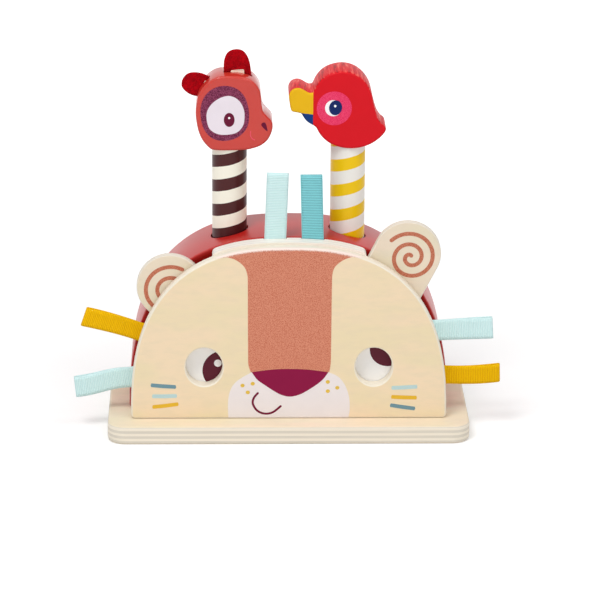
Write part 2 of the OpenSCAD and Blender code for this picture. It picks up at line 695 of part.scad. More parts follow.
module at_ear(place) translate([place[0], 0, head_z + place[1]]) rotate([0, 90 - place[2], 0]) children();

module ear_slot(place) {
    w = place[3] + 2 * felt_gap;
    at_ear(place) translate([-w / 2, -felt_slot_w / 2, -felt_slot_depth])
        cube([w, felt_slot_w, 2 * felt_slot_depth]);
}

module beast_head() color("#cf4b3b") at_plunger(-1) difference() {
    rounded_slab(head_outline(beast_points), 0, head_t, head_edge_r, 3);
    head_bores();
    for (place = [top_ear, side_ear]) ear_slot(place);
}

// A felt ear lies against the back of its slot
module felt_ear(place) {
    a = place[3] / 2;
    foot = felt_gap - felt_slot_depth;
    lobe = [for (t = [0:15:180]) arch_point(a, felt_l, felt_power, t)];
    at_plunger(-1) at_ear(place)
        upright(concat([[-a, foot], [a, foot]], lobe), felt_slot_w / 2 - felt_t, felt_t);
}

// A wooden wedge fills the front of the slot
module ear_wedge(place) {
    w = wedge_w / 2;
    e = wedge_proud / 3;
    foot = felt_gap - felt_slot_depth;
    top = wedge_proud;
    at_plunger(-1) at_ear(place)
        upright([[-w, foot], [w, foot], [w, top - e], [w - e, top], [e - w, top], [-w, top - e]],
            glue_clear - felt_slot_w / 2, felt_slot_w - felt_t - 2 * glue_clear);
}

module beast_top_ear() color("#b00014") felt_ear(top_ear);

module beast_side_ear() color("#b00014") felt_ear(side_ear);

module beast_ear_wedges() color("burlywood") {
    ear_wedge(top_ear);
    ear_wedge(side_ear);
}

module bird_head() color("#d5242f") at_plunger(1) difference() {
    rounded_slab(head_outline(bird_points), 0, head_t, head_edge_r, 3, bird_hub + [0, head_z]);
    head_bores();
}

// ---------------------------------------------------------------- ribbons

// A folded loop of ribbon: two plies, closed by a fold at the outer end
module ribbon(place) {
    ply = ribbon_t / 2 + 0.05;
    end = place[3] - fold_r - ribbon_t / 2;
    half = concat([[-ribbon_tail, ply], [2, ply]],
        [for (k = [1:6]) let (s = k / 6) [2 + (end - 2) * s, ply + (fold_r - ply) * s * s * (3 - 2 * s)]]);
    fold = [for (a = [-67.5:22.5:67.5]) [end + fold_r * cos(a), fold_r * sin(a)]];
    line = concat([for (p = half) [p[0], -p[1]]], fold, [for (k = [len(half) - 1:-1:0]) half[k]]);
    translate([place[0], block_front_y - ribbon_slot_depth / 2, base_t + place[1]])
        rotate([0, -place[2], 0]) translate([0, 0, -place[4] / 2])
            linear_extrude(place[4]) polygon(strip(line, ribbon_t / 2));
}

module ribbon_top_blue() color("#9fd3d8") ribbon(top_ribbons[0]);

module ribbon_top_teal() color("#4a9fae") ribbon(top_ribbons[1]);

module ribbon_left_yellow() color("#e0a21f") ribbon(left_ribbons[0]);

module ribbon_left_blue() color("#9fd3d8") ribbon(left_ribbons[1]);

module ribbon_right_blue() color("#9fd3d8") ribbon(right_ribbons[0]);

module ribbon_right_yellow() color("#e0a21f") ribbon(right_ribbons[1]);

// ---------------------------------------------------------------- output

base_board();
base_screws();
arch_block();
face_plate();
top_spacer();
left_spacer();
right_spacer();
spacer_pins();
ear_rocker();
rocker_pin();
rocker_washers();
left_eye_disc();
right_eye_disc();
left_eye_pin();
right_eye_pin();
left_dowel();
right_dowel();
left_stop_disc();
right_stop_disc();
left_stop_screw();
right_stop_screw();
left_thrust_washer();
right_thrust_washer();
left_spring();
right_spring();
beast_head();
bird_head();
beast_top_ear();
beast_side_ear();
beast_ear_wedges();
ribbon_top_blue();
ribbon_top_teal();
ribbon_left_yellow();
ribbon_left_blue();
ribbon_right_blue();
ribbon_right_yellow();
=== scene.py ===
"""Looks for the pop-up animal toy: finishes, printed features, ribbons, felt ears and springs.

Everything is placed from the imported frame. Lengths are in millimetres, and MM turns them into
metres where a mesh or a node needs them.
"""
import json
import math

import bmesh
import bpy
from mathutils import Matrix, Vector


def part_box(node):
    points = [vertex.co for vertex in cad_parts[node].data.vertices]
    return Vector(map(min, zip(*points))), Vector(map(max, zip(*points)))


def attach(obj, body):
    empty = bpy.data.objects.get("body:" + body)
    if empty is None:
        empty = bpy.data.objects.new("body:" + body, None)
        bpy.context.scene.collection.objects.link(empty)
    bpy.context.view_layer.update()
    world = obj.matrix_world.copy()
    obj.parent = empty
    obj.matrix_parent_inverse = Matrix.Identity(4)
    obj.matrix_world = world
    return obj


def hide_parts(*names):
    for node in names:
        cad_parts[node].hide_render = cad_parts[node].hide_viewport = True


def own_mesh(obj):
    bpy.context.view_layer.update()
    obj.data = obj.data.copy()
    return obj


MM = 0.001

# ---------------------------------------------------------------- frame

bpy.ops.wm.read_factory_settings(use_empty=True)
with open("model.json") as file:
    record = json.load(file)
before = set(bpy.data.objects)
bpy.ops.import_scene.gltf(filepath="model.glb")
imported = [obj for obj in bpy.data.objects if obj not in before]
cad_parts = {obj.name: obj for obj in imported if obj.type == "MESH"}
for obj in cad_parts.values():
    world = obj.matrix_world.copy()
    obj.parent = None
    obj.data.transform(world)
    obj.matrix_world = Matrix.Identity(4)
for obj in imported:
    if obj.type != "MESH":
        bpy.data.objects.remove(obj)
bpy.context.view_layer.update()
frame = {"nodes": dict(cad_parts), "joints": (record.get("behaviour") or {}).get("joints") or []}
nodes = frame["nodes"]


def box_mm(node):
    """Lowest and highest corner of a CAD node, in millimetres."""
    low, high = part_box(node)
    return low / MM, high / MM


plate_low, plate_high = box_mm("face_plate")
board_top = box_mm("base_board")[1].z
FACE_Y = plate_low.y
ARCH_HALF = plate_high.x
ARCH_HIGH = plate_high.z - board_top
ARCH_POWER = 2.55  # fullness of the arch's shoulders, as in the CAD model
PLATE_EDGE = 1.8  # rounding of the face plate's edges
BLOCK_FRONT = box_mm("arch_block")[0].y
PRINT = 0.07  # how far a printed layer stands off the wood
PATCH_SINK, WRAP_SINK = 0.02, 0.03  # how far the back of a flat and of a bent layer goes into it
WELD = 0.002  # vertices of a CAD mesh that are nearer than this are one
JOINTS = {joint["name"]: joint for joint in frame["joints"]}


def joint_mm(name):
    """A joint's place, in millimetres."""
    return Vector(JOINTS[name]["pos_m"]) / MM


# ---------------------------------------------------------------- curves


def arch_height(x, inset=0.0):
    """Height of the face plate's outline above x, moved inwards."""
    share = abs(x) / (ARCH_HALF - inset)
    return board_top + (ARCH_HIGH - inset) * (1 - share ** ARCH_POWER) ** (1 / ARCH_POWER)


def between(a, b, c, d, share):
    """Value between b and c of a Catmull-Rom curve through four values."""
    second = a - 2.5 * b + 2 * c - 0.5 * d
    third = 1.5 * (b - c) + (d - a) / 2
    return b + share * ((c - a) / 2 + share * (second + share * third))


def smooth(points, steps=8, closed=True):
    """Smooth curve through 2-D points, with the given number of steps between two of them."""
    count = len(points)
    spans = count if closed else count - 1
    curve = []
    for i in range(spans):
        if closed:
            p, q, u, v = (points[(i + k) % count] for k in (-1, 0, 1, 2))
        else:
            p, q, u, v = (points[min(max(i + k, 0), count - 1)] for k in (-1, 0, 1, 2))
        for k in range(steps):
            curve.append(tuple(between(*four, k / steps) for four in zip(p, q, u, v)))
    if not closed:
        curve.append(tuple(points[-1]))
    return curve


def ellipse(x, z, rx, rz, count=64, turn=0.0):
    """Outline of an ellipse, turned by the given degrees."""
    cos, sin = math.cos(math.radians(turn)), math.sin(math.radians(turn))
    points = []
    for k in range(count):
        a = 2 * math.pi * k / count
        dx, dz = rx * math.cos(a), rz * math.sin(a)
        points.append((x + dx * cos - dz * sin, z + dx * sin + dz * cos))
    return points


def stroke(points, radius):
    """Outline of a line drawn with a round pen along 2-D points."""
    left, right, turns = [], [], []
    last = len(points) - 1
    for i, p in enumerate(points):
        a, b = points[max(i - 1, 0)], points[min(i + 1, last)]
        turn = math.atan2(b[1] - a[1], b[0] - a[0])
        turns.append(turn)
        dx, dz = radius * math.sin(turn), radius * math.cos(turn)
        right.append((p[0] + dx, p[1] - dz))
        left.append((p[0] - dx, p[1] + dz))

    def cap(centre, start):
        angles = [start + math.radians(d) for d in range(20, 180, 20)]
        return [(centre[0] + radius * math.cos(a), centre[1] + radius * math.sin(a))
                for a in angles]

    return (right + cap(points[last], turns[last] - math.pi / 2)
            + left[::-1] + cap(points[0], turns[0] + math.pi / 2))


# ---------------------------------------------------------------- meshes


def make(name, points, faces, body, material, smooth_faces=False):
    """A mesh object from points in millimetres, riding on a body."""
    mesh = bpy.data.meshes.new(name)
    mesh.from_pydata([Vector(p) * MM for p in points], [], faces)
    work = bmesh.new()
    work.from_mesh(mesh)
    bmesh.ops.recalc_face_normals(work, faces=work.faces)
    work.to_mesh(mesh)
    work.free()
    mesh.polygons.foreach_set("use_smooth", [smooth_faces] * len(mesh.polygons))
    piece = bpy.data.objects.new(name, mesh)
    bpy.context.scene.collection.objects.link(piece)
    mesh.materials.append(material)
    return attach(piece, body)


def patch(name, outline, y, body, ink, layer=1, place=None):
    """A printed patch: a thin layer on a face that looks along -Y, over the layers below it. place
    is a matrix that moves it from its own drawing plane into the frame."""
    count = len(outline)
    points = [(x, y - layer * PRINT, z) for x, z in outline]
    points += [(x, y + PATCH_SINK, z) for x, z in outline]
    if place is not None:
        points = [place @ Vector(p) for p in points]
    faces = [list(range(count)), list(range(2 * count - 1, count - 1, -1))]
    faces += [[i, (i + 1) % count, count + (i + 1) % count, count + i] for i in range(count)]
    piece = make(name, points, faces, body, INK[ink])


def grid(name, rows, body, material, closed_across=False, closed_along=False):
    """A smooth mesh over rows of points."""
    n, m = len(rows[0]), len(rows)
    points = [p for row in rows for p in row]
    faces = []
    for i in range(m if closed_along else m - 1):
        for j in range(n if closed_across else n - 1):
            a, b = i * n + j, i * n + (j + 1) % n
            c, d = ((i + 1) % m) * n + (j + 1) % n, ((i + 1) % m) * n + j
            faces.append([a, b, c, d])
    return make(name, points, faces, body, material, smooth_faces=True)


def edge_wrap(name, flat_edge, normals, ink, degrees, starts):
    """A printed layer that goes on round the face plate's rounded edge, as far as an angle of the
    given degrees. starts has the angle at which it begins at each point of the flat edge."""
    steps = 8
    rows = []
    for side in (PRINT, -WRAP_SINK):
        radius = PLATE_EDGE + side
        part = []
        for k in range(steps + 1):
            row = []
            for (x, z), (nx, nz), first in zip(flat_edge, normals, starts):
                a = math.radians(first + (degrees - first) * k / steps)
                out = radius * math.sin(a)
                y = FACE_Y + PLATE_EDGE - radius * math.cos(a)
                row.append((x + nx * out, y, z + nz * out))
            part.append(row)
        rows += part if side > 0 else part[::-1]
    grid(name, rows, "frame", INK[ink], closed_along=True)


def plain_shading(mesh):
    """Takes a CAD mesh's stored normals and sharp marks away."""
    for attribute in ("custom_normal", "sharp_face", "sharp_edge"):
        if attribute in mesh.attributes:
            mesh.attributes.remove(mesh.attributes[attribute])


# ---------------------------------------------------------------- materials


def colour(r, g, b):
    """Linear colour from the 0 to 255 values of a screen."""
    def linear(v):
        v /= 255
        return v / 12.92 if v <= 0.04045 else ((v + 0.055) / 1.055) ** 2.4
    return (linear(r), linear(g), linear(b), 1.0)


def toned(rgb, factor=1.0):
    """A screen colour made darker or lighter by a factor, as a linear colour."""
    return colour(*[min(255, factor * v) for v in rgb])


class Tree:
    """A node tree, built node by node."""

    MIXES = {"RGBA": (6, 2), "VECTOR": (4, 1)}  # a mix node's first input and its output

    def __init__(self, tree):
        self.tree = tree

    def give(self, socket, value):
        """Links an output to the socket, or sets the socket's value."""
        if isinstance(value, bpy.types.NodeSocket):
            self.tree.links.new(value, socket)
        elif value is not None:
            socket.default_value = value

    def node(self, kind, *values, **props):
        """A new node. The values go to its inputs in their order, and None leaves one as it is."""
        node = self.tree.nodes.new(kind)
        for key, value in props.items():
            setattr(node, key, value)
        for socket, value in zip(node.inputs, values):
            self.give(socket, value)
        return node

    def math(self, operation, *values):
        return self.node("ShaderNodeMath", *values, operation=operation).outputs[0]

    def times(self, a, b):
        return self.math("MULTIPLY", a, b)

    def split(self, vector):
        return self.node("ShaderNodeSeparateXYZ", vector).outputs

    def mix(self, share, a, b, kind="RGBA"):
        first, output = self.MIXES[kind]
        node = self.node("ShaderNodeMix", share, data_type=kind)
        self.give(node.inputs[first], a)
        self.give(node.inputs[first + 1], b)
        return node.outputs[output]

    def ranged(self, value, low, high, first, last, kind="LINEAR"):
        """first at low and below, last at high and above."""
        node = self.node("ShaderNodeMapRange", value, low, high, first, last)
        node.interpolation_type = kind
        return node.outputs[0]

    def seen(self):
        """1 for a ray from the camera or a glossy surface, else 0."""
        rays = self.node("ShaderNodeLightPath").outputs
        return self.math("MAXIMUM", rays["Is Camera Ray"], rays["Is Glossy Ray"])


class Shader(Tree):
    """A material with one Principled shader."""

    def __init__(self, name, **sockets):
        self.material = bpy.data.materials.new(name)
        self.material.use_nodes = True
        super().__init__(self.material.node_tree)
        self.bsdf = self.tree.nodes["Principled BSDF"]
        self.set(**sockets)
        self.height = None

    def set(self, **sockets):
        for key, value in sockets.items():
            self.give(self.bsdf.inputs[key.replace("_", " ")], value)

    def position(self):
        return self.node("ShaderNodeTexCoord").outputs["Object"]

    def normal(self):
        return self.node("ShaderNodeTexCoord").outputs["Normal"]

    def uv(self):
        return self.node("ShaderNodeTexCoord").outputs["UV"]

    def mapped(self, vector, scale):
        node = self.node("ShaderNodeMapping", vector)
        node.inputs["Scale"].default_value = scale
        return node.outputs[0]

    def grained(self, vector, scale, along):
        """The vector scaled for a noise that is stretched along X."""
        return self.mapped(vector, (scale * along, scale, scale))

    def noise(self, vector, scale, detail=3.0, rough=0.5):
        node = self.node("ShaderNodeTexNoise", vector)
        node.inputs["Scale"].default_value = scale
        node.inputs["Detail"].default_value = detail
        node.inputs["Roughness"].default_value = rough
        return node.outputs["Fac"]

    def ramp(self, value, low, high):
        """0 at low and below, 1 at high and above, smooth between."""
        return self.ranged(value, low, high, 0.0, 1.0, "SMOOTHSTEP")

    def paint(self, value):
        self.set(Base_Color=value)

    def bump(self, height, depth):
        """Bump of the given depth in millimetres, for a height from 0 to 1."""
        node = self.node("ShaderNodeBump")
        node.inputs["Distance"].default_value = depth * MM
        self.give(node.inputs["Height"], height)
        self.give(node.inputs["Normal"], self.height)
        self.height = node.outputs[0]
        self.set(Normal=self.height)


def plywood(name, face, stack, plies, thickness, start, pale, depth, worn=(0.5, 0.85)):
    """Veneered plywood with its grain along X. stack is the axis across the plies, which start at
    start. depth is how dark the darker plies are against the pale ones, and worn how squarely a
    surface has to face along the stack before it begins, and stops, to show veneer."""
    s = Shader(name, Roughness=0.5, Specular_IOR_Level=0.3)
    place = s.position()
    figure = s.noise(s.grained(place, 260, 0.35), 1.0, 3.0, 0.5)
    cloud = s.noise(s.grained(place, 48, 0.35), 1.0, 2.0)
    pores = s.noise(s.grained(place, 2600, 0.06), 1.0, 2.0, 0.7)
    fibre = s.noise(s.grained(place, 600, 0.06), 1.0, 3.0)

    r, g, b = face
    warm = colour(min(255, 1.012 * r), 0.992 * g, 0.99 * b)
    cool = colour(0.988 * r, 0.992 * g, 0.965 * b)
    veneer = s.mix(s.ramp(cloud, 0.35, 0.65), cool, warm)
    veneer = s.mix(s.times(s.ramp(figure, 0.4, 0.7), 0.4), veneer, toned(face, 0.965))
    veneer = s.mix(s.times(s.ramp(pores, 0.56, 0.75), 0.08), veneer, toned(face, 0.82))

    axis = "XYZ".index(stack)
    ply = s.math("SUBTRACT", s.split(place)[axis], start * MM)
    ply = s.math("DIVIDE", ply, thickness * MM / plies)
    wave = s.math("PINGPONG", s.math("ADD", ply, s.times(cloud, 0.2)), 1.0)
    light = s.mix(fibre, toned(pale), toned(pale, 0.975))
    dark = s.mix(fibre, toned(pale, depth - 0.03), toned(pale, depth + 0.03))
    edge = s.mix(s.ramp(wave, 0.42, 0.62), light, dark)
    glue = s.ramp(s.math("ABSOLUTE", s.math("SUBTRACT", wave, 0.52)), 0.09, 0.02)
    edge = s.mix(s.times(glue, 1.6 - 1.6 * depth), edge, toned(pale, 0.7))

    facing = s.math("ABSOLUTE", s.split(s.normal())[axis])
    s.paint(s.mix(s.ramp(facing, *worn), edge, veneer))
    s.set(Roughness=s.math("MULTIPLY_ADD", figure, 0.14, 0.42))
    s.bump(pores, 0.04)
    return s.material


def painted(name, rgb, gloss, coat, shine=0.4, grain=False, shade=None):
    """Paint on wood, with a faint orange peel. With grain, the wood's grain along Y shows on the
    sides, where the paint is thin. shade is the Y of a front face that lies in a narrow gap: on
    and near that face the colour is darkened as painted shade, and its reflection is turned down."""
    s = Shader(name, Roughness=gloss, Specular_IOR_Level=shine, Coat_Weight=coat)
    s.set(Coat_Roughness=0.06)
    place = s.position()
    tint = s.mix(s.noise(place, 55.0, 2.0), toned(rgb, 0.97), toned(rgb, 1.02))
    if grain:
        lines = s.noise(s.mapped(place, (430, 43, 430)), 1.0, 4.0, 0.62)
        side = s.ramp(s.math("ABSOLUTE", s.split(s.normal())[1]), 0.85, 0.5)
        worn = s.times(s.ramp(lines, 0.5, 0.62), side)
        tint = s.mix(s.times(worn, 0.7), tint, colour(246, 118, 104))
        dark = s.times(s.ramp(lines, 0.46, 0.34), side)
        tint = s.mix(s.times(dark, 0.8), tint, toned(rgb, 0.66))
        s.bump(s.times(lines, side), 0.08)
    # Painted shade in the gap: a deeper tone on and near the front face, with less reflection.
    if shade is not None:
        inside = s.ramp(s.split(place)[1], (shade + 2.0) * MM, (shade + 0.4) * MM)
        tint = s.mix(inside, tint, toned(rgb, 0.78))
        s.set(Specular_IOR_Level=s.math("MULTIPLY_ADD", inside, -shine, shine))
    s.paint(tint)
    s.bump(s.noise(place, 450.0, 2.0), 0.03)
    return s.material


def printed(name, rgb, dots=None, size=0.42):
    """Printed ink, plain or with a fine speckle of a second colour, of the given size."""
    s = Shader(name, Roughness=0.5, Specular_IOR_Level=0.2)
    place = s.position()
    tint = s.mix(s.noise(place, 70.0, 2.0), toned(rgb, 0.98), toned(rgb, 1.015))
    if dots:
        speck = s.noise(place, 0.8 / (size * MM), 1.0, 0.5)
        tint = s.mix(s.ramp(speck, 0.47, 0.55), tint, colour(*dots))
    s.paint(tint)
    return s.material


def faded_print(name, rgb, dots, worn):
    """The bridge's speckled ink, which wears off towards the arch's rounded edge."""
    s = Shader(name, Roughness=0.5, Specular_IOR_Level=0.2)
    place = s.position()
    speck = s.ramp(s.noise(place, 1900.0, 1.0, 0.5), 0.47, 0.55)
    ink = s.mix(speck, colour(*rgb), colour(*dots))
    x, _, z = s.split(place)
    across = s.math("DIVIDE", s.math("ABSOLUTE", x), ARCH_HALF * MM)
    up = s.math("DIVIDE", s.math("SUBTRACT", z, board_top * MM), ARCH_HIGH * MM)
    both = s.math("ADD", s.math("POWER", across, ARCH_POWER), s.math("POWER", up, ARCH_POWER))
    reach = s.math("POWER", both, 1 / ARCH_POWER)
    inset = s.times(s.math("SUBTRACT", 1.0, reach), ARCH_HIGH)
    ragged = s.math("MULTIPLY_ADD", s.noise(place, 1500.0, 2.0), 2.4, -1.2)
    s.paint(s.mix(s.ramp(s.math("ADD", inset, ragged), 2.5, 0.7), ink, colour(*worn)))
    return s.material


def striped(name, axis, pitch, start, share, ground, band):
    """A stripe wound round an upright dowel. It climbs by pitch in a turn, starts at the height
    start and covers the given share."""
    s = Shader(name, Roughness=0.35, Specular_IOR_Level=0.25)
    place = s.position()
    x, y, z = s.split(place)
    from_axis = s.math("SUBTRACT", y, axis[1] * MM), s.math("SUBTRACT", x, axis[0] * MM)
    turned = s.math("DIVIDE", s.math("ARCTAN2", *from_axis), 2 * math.pi)
    climbed = s.math("DIVIDE", s.math("SUBTRACT", z, start * MM), pitch * MM)
    rise = s.math("SUBTRACT", climbed, turned)
    rise = s.math("ADD", rise, s.math("MULTIPLY_ADD", s.noise(place, 160.0, 2.0), 0.03, -0.015))
    fraction = s.math("FRACT", s.math("ADD", rise, 20.5))
    off = s.math("ABSOLUTE", s.math("SUBTRACT", fraction, 0.5))
    mask = s.ramp(off, share / 2 + 0.008, share / 2 - 0.008)
    cloud = s.noise(place, 60.0, 2.0)
    dark = s.mix(cloud, toned(band, 0.95), toned(band))
    pale = s.mix(cloud, toned(ground, 0.98), toned(ground))
    s.paint(s.mix(mask, pale, dark))
    s.bump(mask, 0.06)
    s.bump(s.noise(place, 500.0, 2.0), 0.03)
    return s.material


def bare_wood(name, rgb, grain):
    """Bare wood with its grain along an axis."""
    s = Shader(name, Roughness=0.6)
    scale = [60 if axis == grain else 1200 for axis in "XYZ"]
    lines = s.noise(s.mapped(s.position(), scale), 1.0, 4.0, 0.6)
    s.paint(s.mix(s.ramp(lines, 0.35, 0.7), toned(rgb), toned(rgb, 0.82)))
    s.bump(lines, 0.08)
    return s.material


def metal(name, rgb, rough):
    """Metal with fine scratches along Z."""
    s = Shader(name, Metallic=1.0)
    scratch = s.noise(s.mapped(s.position(), (900, 900, 60)), 1.0, 3.0)
    s.paint(s.mix(scratch, toned(rgb, 0.9), toned(rgb)))
    s.set(Roughness=s.math("MULTIPLY_ADD", scratch, 0.2, rough))
    s.bump(scratch, 0.02)
    return s.material


def nylon(name, rgb):
    """Natural nylon, which lets a little light in."""
    s = Shader(name, Roughness=0.5, Subsurface_Weight=0.1)
    s.paint(s.mix(s.noise(s.position(), 120.0, 2.0), toned(rgb, 0.95), toned(rgb)))
    return s.material


def felt(name, rgb):
    """Dense wool felt with short fuzzy fibres."""
    s = Shader(name, Roughness=0.95, Specular_IOR_Level=0.1)
    s.set(Sheen_Weight=0.2, Sheen_Roughness=0.5, Sheen_Tint=colour(255, 90, 90))
    place = s.position()
    fuzz = s.noise(place, 1500.0, 5.0, 0.7)
    clumps = s.noise(place, 320.0, 3.0)
    tone = s.math("MULTIPLY_ADD", fuzz, 0.6, s.times(clumps, 0.4))
    s.paint(s.mix(s.ramp(tone, 0.3, 0.7), toned(rgb, 0.74), toned(rgb, 1.1)))
    s.bump(fuzz, 0.5)
    s.bump(clumps, 0.5)
    return s.material


RIB = 1.25  # distance between the ribs of a ribbon


def grosgrain(name, rgb, groove_shade, ribbon_width):
    """Ribbed ribbon: ribs across its width, with a flatter woven edge. The second colour goes
    between the ribs, as painted shade in the grooves."""
    s = Shader(name, Roughness=0.7, Specular_IOR_Level=0.1)
    s.set(Sheen_Weight=0.04, Sheen_Roughness=0.4)
    u, v, _ = s.split(s.uv())
    rib = s.math("ABSOLUTE", s.math("SINE", s.times(v, math.pi / (RIB * MM))))
    across = s.math("ABSOLUTE", s.math("SUBTRACT", u, ribbon_width * MM / 2))
    edge = s.ramp(across, (ribbon_width / 2 - 0.7) * MM, (ribbon_width / 2 - 0.35) * MM)
    thread = s.noise(s.mapped(s.uv(), (2600, 500, 1)), 1.0, 3.0)
    lit = s.mix(thread, toned(rgb, 0.96), toned(rgb, 1.03))
    groove = s.times(s.ramp(rib, 0.55, 0.1), s.math("SUBTRACT", 1.0, edge))
    # Painted shade: the grooves between the ribs take the darker colour.
    s.paint(s.mix(s.times(groove, 0.75), lit, colour(*groove_shade)))
    s.bump(s.times(rib, s.math("SUBTRACT", 1.0, s.times(edge, 0.6))), 0.28)
    s.bump(thread, 0.05)
    return s.material


beast_axis = joint_mm("beast_turn")
bird_axis = joint_mm("bird_turn")
rocker_low, rocker_high = box_mm("ear_rocker")

SQUARE_ON = (0.93, 0.99)  # a rounded edge shows its plies almost up to the flat face
board_wood = plywood("board_plywood", (240, 226, 202), stack="Z", plies=7, thickness=board_top,
                     start=0.0, pale=(246, 236, 218), depth=0.91)
plate_wood = plywood("plate_plywood", (243, 224, 190), stack="Y", plies=5,
                     thickness=plate_high.y - plate_low.y, start=FACE_Y,
                     pale=(244, 235, 217), depth=0.98, worn=SQUARE_ON)
rocker_wood = plywood("rocker_plywood", (236, 223, 201), stack="Y", plies=5,
                      thickness=rocker_high.y - rocker_low.y, start=rocker_low.y,
                      pale=(240, 231, 216), depth=0.95, worn=SQUARE_ON)
spacer_wood = plywood("spacer_plywood", (251, 245, 236), stack="Y", plies=5,
                      thickness=BLOCK_FRONT - plate_high.y, start=plate_high.y,
                      pale=(250, 245, 236), depth=0.95, worn=SQUARE_ON)
# The block's front face, in the narrow gap behind the plate, gets painted shade.
block_paint = painted("block_red", (190, 28, 22), gloss=0.36, coat=0.12, shine=0.55,
                      shade=BLOCK_FRONT)
brown_stripes = striped("brown_stripes", beast_axis, pitch=18.35, start=183.7, share=0.49,
                        ground=(254, 250, 234), band=(74, 22, 24))
yellow_stripes = striped("yellow_stripes", bird_axis, pitch=18.7, start=179.95, share=0.48,
                         ground=(246, 243, 236), band=(250, 206, 0))
MATERIALS = {
    "base_board": board_wood,
    "face_plate": plate_wood,
    "ear_rocker": rocker_wood,
    "top_spacer": spacer_wood,
    "left_spacer": spacer_wood,
    "right_spacer": spacer_wood,
    "arch_block": block_paint,
    "beast_head": painted("beast_red", (203, 54, 42), gloss=0.28, coat=0.35, shine=0.3),
    "bird_head": painted("bird_red", (218, 14, 30), gloss=0.45, coat=0.0, shine=0.16, grain=True),
    "left_dowel": brown_stripes,
    "right_dowel": yellow_stripes,
    "zinc": metal("zinc_steel", (200, 202, 206), 0.25),
    "spring": metal("spring_steel", (178, 180, 184), 0.2),
    "beech_y": bare_wood("beech_pin", (222, 186, 136), "Y"),
    "beech_x": bare_wood("beech_disc", (222, 186, 136), "X"),
    "wedge": bare_wood("wedge_wood", (250, 236, 214), "X"),
    "nylon": nylon("natural_nylon", (240, 238, 230)),
    "disc": painted("disc_white", (255, 253, 251), gloss=0.35, coat=0.1),
    "felt": felt("red_felt", (180, 0, 16)),
}
SHARED = {
    "zinc": ["base_screws", "left_stop_screw", "right_stop_screw", "left_thrust_washer",
             "right_thrust_washer"],
    "beech_y": ["spacer_pins", "rocker_pin", "left_eye_pin", "right_eye_pin"],
    "beech_x": ["left_stop_disc", "right_stop_disc"],
    "nylon": ["rocker_washers"],
    "disc": ["left_eye_disc", "right_eye_disc"],
    "wedge": ["beast_ear_wedges"],
}
for key, members in SHARED.items():
    for member in members:
        MATERIALS[member] = MATERIALS[key]


# ---------------------------------------------------------------- CAD nodes

CREASE = 34  # an edge that bends by more degrees than this stays sharp
FLAT = 0.99995  # a face is flat and square when its normal is this near to an axis


def shading_group():
    """Geometry nodes that weld a CAD mesh and smooth it except at its real edges, with flat faces
    kept truly flat: a rounded edge starts from the flat face's own normal."""
    group = bpy.data.node_groups.new("even_shading", "GeometryNodeTree")
    group.interface.new_socket("Geometry", in_out="INPUT", socket_type="NodeSocketGeometry")
    group.interface.new_socket("Geometry", in_out="OUTPUT", socket_type="NodeSocketGeometry")
    g = Tree(group)

    def on(domain, kind, value):
        node = g.node("GeometryNodeFieldOnDomain", value, domain=domain, data_type=kind)
        return node.outputs[0]

    weld = g.node("GeometryNodeMergeByDistance", g.node("NodeGroupInput").outputs[0])
    weld.inputs["Distance"].default_value = WELD * MM
    angle = g.node("GeometryNodeInputMeshEdgeAngle").outputs["Unsigned Angle"]
    sharp = g.math("GREATER_THAN", angle, math.radians(CREASE))
    faces = g.node("GeometryNodeSetShadeSmooth", weld.outputs[0], domain="FACE")
    edges = g.node("GeometryNodeSetShadeSmooth", faces.outputs[0], sharp, False, domain="EDGE")

    # The normals of flat faces, carried on to the rounded faces that touch them smoothly
    normal = g.node("GeometryNodeInputNormal").outputs[0]
    x, y, z = (g.math("ABSOLUTE", part) for part in g.split(normal))
    steep = g.math("MAXIMUM", g.math("MAXIMUM", x, y), z)
    flat = on("FACE", "FLOAT", g.math("GREATER_THAN", steep, FLAT))
    level = on("FACE", "FLOAT_VECTOR", normal)
    scaled = g.node("ShaderNodeVectorMath", level, operation="SCALE")
    g.give(scaled.inputs["Scale"], flat)
    near = on("POINT", "FLOAT_VECTOR", on("FACE", "FLOAT_VECTOR", scaled.outputs[0]))
    size = g.node("ShaderNodeVectorMath", near, operation="LENGTH").outputs["Value"]
    crease = on("POINT", "FLOAT", on("EDGE", "FLOAT", sharp))
    border = g.times(g.math("GREATER_THAN", size, 0.01), g.math("LESS_THAN", crease, 0.01))
    blend = g.mix(border, on("CORNER", "FLOAT_VECTOR", normal), near, "VECTOR")
    kept = g.mix(flat, blend, level, "VECTOR")
    unit = g.node("ShaderNodeVectorMath", kept, operation="NORMALIZE").outputs[0]
    bend = g.node("GeometryNodeSetMeshNormal", mode="FREE", domain="CORNER")
    g.give(bend.inputs["Mesh"], edges.outputs[0])
    g.give(bend.inputs["Custom Normal"], unit)
    g.node("NodeGroupOutput", bend.outputs[0])
    return group


def finish_node(piece, material):
    """Gives a CAD node its one material and even shading."""
    piece.data.materials.clear()
    piece.data.materials.append(material)
    plain_shading(piece.data)
    piece.modifiers.new("even_shading", "NODES").node_group = even


even = shading_group()
for node in nodes:
    if node in MATERIALS:
        finish_node(nodes[node], MATERIALS[node])


# ---------------------------------------------------------------- printed features

